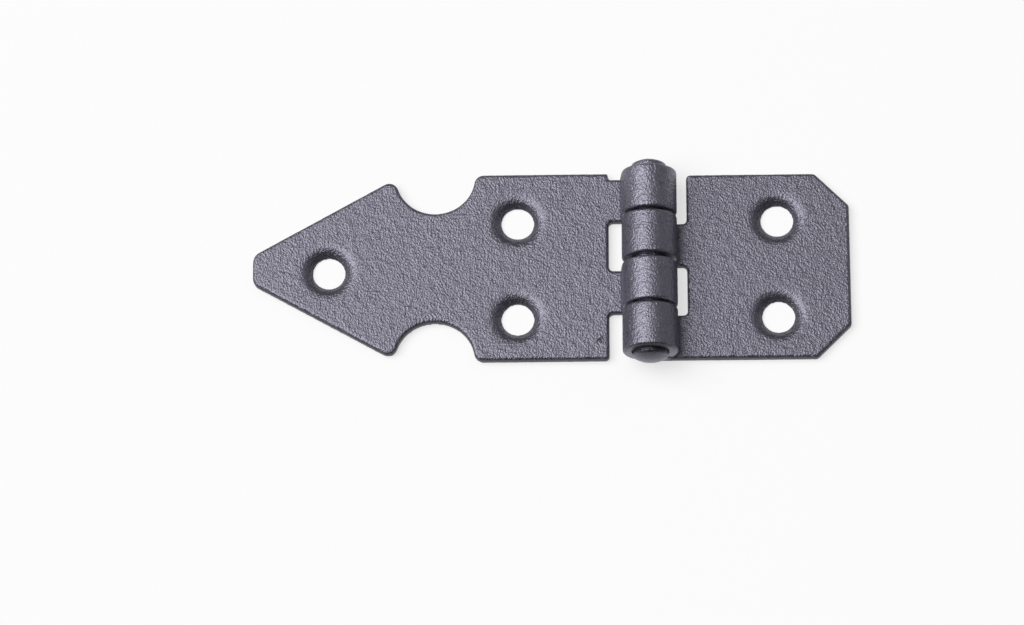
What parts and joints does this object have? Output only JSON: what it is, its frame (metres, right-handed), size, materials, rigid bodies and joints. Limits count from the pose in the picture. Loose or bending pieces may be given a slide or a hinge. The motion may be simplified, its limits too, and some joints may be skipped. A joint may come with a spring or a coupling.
{
  "type": "decorative hinge",
  "caption": "Flat butt hinge with an arrow-headed strap leaf, a short chamfered leaf and interleaved rolled knuckles on a crowned pin; countersunk screw holes.",
  "frame": {"origin": "Centre of the hinge's overall length and width, on its back plane, with the leaves open flat.", "axes": "+X from the strap leaf's tip towards the short leaf, +Y along the pin, +Z out of the front faces."},
  "size_m": [0.0752, 0.0268, 0.007],
  "materials": {
    "hammered_coat": "fine hammered violet grey metallic coat over steel, with a satin sheen"
  },
  "bodies": {
    "strap": {"strap_leaf": "hammered_coat", "hinge_pin": "hammered_coat"},
    "short": {"short_leaf": "hammered_coat"}
  },
  "joints": [
    {"name": "leaf_fold", "type": "hinge", "parent": "strap", "child": "short", "pos_m": [0.0124, 0, 0.0035], "axis": [0, -1, 0], "range_deg": [-102, 190]}
  ]
}
